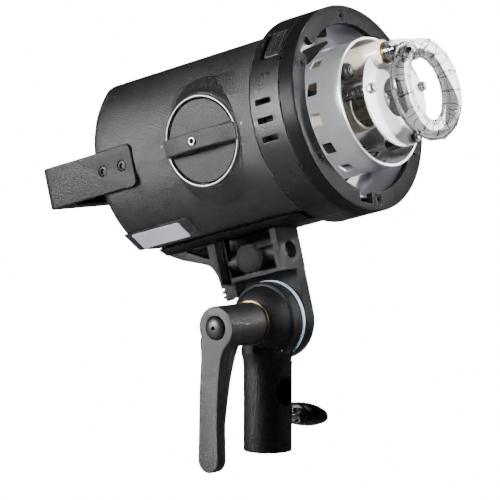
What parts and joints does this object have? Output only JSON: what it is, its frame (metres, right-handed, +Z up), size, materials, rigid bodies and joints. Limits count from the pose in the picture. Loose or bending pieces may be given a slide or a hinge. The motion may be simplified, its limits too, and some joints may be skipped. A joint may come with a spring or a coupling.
{
  "type": "monolight studio flash head",
  "caption": "Studio flash head with an exposed ring flash tube and modelling lamp, a bayonet ring, a zoom knob, a rear handle and a tilting stand bracket.",
  "frame": {"origin": "centre of the stand socket mouth, where the stand stud enters", "axes": "+Z up along the stand stud, -Y the way the lamp faces, +X to the right as seen from behind; the head is stored tilted 14.6 degrees nose up"},
  "size_m": [0.1445, 0.2711, 0.2924],
  "materials": {
    "black_casting": "matte black textured powder coat",
    "black_housing": "matte black fine textured coat",
    "satin_ring": "satin black anodised",
    "grey_textured": "dark grey moulding, fine texture",
    "black_plastic": "matte black moulding",
    "black_rubber": "soft black rubber",
    "chrome": "bright plated steel",
    "dark_steel": "black oxide steel",
    "satin_silver": "satin silver",
    "brass": "plain turned brass",
    "nylon": "pale blue nylon",
    "ceramic": "cream glazed ceramic",
    "white_enamel": "white enamelled heat shield",
    "glass": "clear borosilicate glass",
    "label": "blank silver grey label",
    "board": "green circuit board",
    "sleeve": "dark sleeve",
    "screen": "dark glossy window",
    "orange": "orange moulding",
    "white_button": "white moulding"
  },
  "bodies": {
    "stand": {"stand_socket": "black_casting", "brass_washer": "brass", "friction_washer": "nylon", "tilt_bolt": "dark_steel"},
    "stand_lock": {"wing_screw": "chrome", "wing_knob": "black_plastic"},
    "tilt_lock": {"tilt_lever": "black_casting", "lever_cap": "black_plastic"},
    "umbrella_lock": {"umbrella_screw": "black_plastic"},
    "lamp_carriage": {"reflector_barrel": "satin_silver", "carriage_plate": "black_plastic", "white_reflector": "white_enamel", "standoff_1": "chrome", "standoff_2": "chrome", "standoff_3": "chrome", "tube_post_1": "ceramic", "tube_post_2": "ceramic", "flash_tube": "glass", "modelling_lamp": "glass", "lamp_socket": "ceramic", "zoom_rack": "brass"},
    "zoom": {"zoom_knob": "grey_textured", "knob_screw": "chrome", "zoom_pinion": "brass"},
    "catch": {"release_slider": "black_plastic", "lock_pawl": "black_plastic"},
    "fan": {"fan_rotor": "black_plastic"},
    "dial": {"control_dial": "grey_textured"},
    "test": {"test_button": "orange"},
    "lamp_key": {"lamp_button": "white_button"},
    "rocker": {"power_switch": "black_plastic"},
    "head": {"tilt_bracket": "black_casting", "head_shell": "black_housing", "vent_collar": "black_housing", "front_ring": "satin_ring", "handle": "grey_textured", "rear_panel": "black_plastic", "power_inlet": "black_plastic", "handle_grip": "black_rubber", "guide_rod_1": "chrome", "guide_rod_2": "chrome", "sync_jack": "chrome", "chassis_plate": "dark_steel", "ring_screw_1": "dark_steel", "ring_screw_2": "dark_steel", "ring_screw_3": "dark_steel", "ring_screw_4": "dark_steel", "ring_screw_5": "dark_steel", "ring_screw_6": "dark_steel", "handle_screw_1": "dark_steel", "handle_screw_2": "dark_steel", "handle_screw_3": "dark_steel", "handle_screw_4": "dark_steel", "inner_liner": "satin_silver", "knob_bezel": "satin_silver", "label_plate": "label", "main_board": "board", "capacitor_1": "sleeve", "capacitor_2": "sleeve", "display_window": "screen"}
  },
  "joints": [
    {"name": "head_tilt", "type": "hinge", "parent": "stand", "child": "head", "pos_m": [0, 0, 0.0835], "axis": [-1, 0, 0], "range_deg": [-100, 75]},
    {"name": "stand_lock_turn", "type": "hinge", "parent": "stand", "child": "stand_lock", "pos_m": [0.0316, 0, 0.019], "axis": [1, 0, 0], "continuous": true},
    {"name": "tilt_lock_turn", "type": "hinge", "parent": "stand", "child": "tilt_lock", "pos_m": [-0.0536, 0, 0.0835], "axis": [1, 0, 0], "range_deg": [-35, 60]},
    {"name": "umbrella_lock_turn", "type": "hinge", "parent": "head", "child": "umbrella_lock", "pos_m": [-0.0024, 0.01096, 0.12281], "axis": [1, 0, 0], "continuous": true},
    {"name": "lamp_slide", "type": "slide", "parent": "head", "child": "lamp_carriage", "axis": [0, -0.9677, 0.2521], "range_m": [-0.0094, 0.0094]},
    {"name": "zoom_turn", "type": "hinge", "parent": "head", "child": "zoom", "pos_m": [-0.0505, 0.01031, 0.19965], "axis": [-1, 0, 0], "range_deg": [-90, 90]},
    {"name": "catch_slide", "type": "slide", "parent": "head", "child": "catch", "axis": [0, 0.9677, -0.2521], "range_m": [0, 0.003], "stiffness_N_per_m": 400},
    {"name": "fan_spin", "type": "hinge", "parent": "head", "child": "fan", "pos_m": [0.0125, 0.08155, 0.18471], "axis": [0, 0.9677, -0.2521], "continuous": true},
    {"name": "dial_turn", "type": "hinge", "parent": "head", "child": "dial", "pos_m": [0.0485, 0.09736, 0.18473], "axis": [0, 0.9677, -0.2521], "continuous": true},
    {"name": "test_press", "type": "slide", "parent": "head", "child": "test", "axis": [0, -0.9677, 0.2521], "range_m": [0, 0.001], "stiffness_N_per_m": 600},
    {"name": "lamp_key_press", "type": "slide", "parent": "head", "child": "lamp_key", "axis": [0, -0.9677, 0.2521], "range_m": [0, 0.001], "stiffness_N_per_m": 600},
    {"name": "rocker_tip", "type": "hinge", "parent": "head", "child": "rocker", "pos_m": [-0.0035, 0.0846, 0.14723], "axis": [0, 0.2521, 0.9677], "range_deg": [0, 8]}
  ],
  "couplings": [
    {"joint": "zoom_turn", "follows": "lamp_slide", "rad_per_m": 166.67}
  ]
}
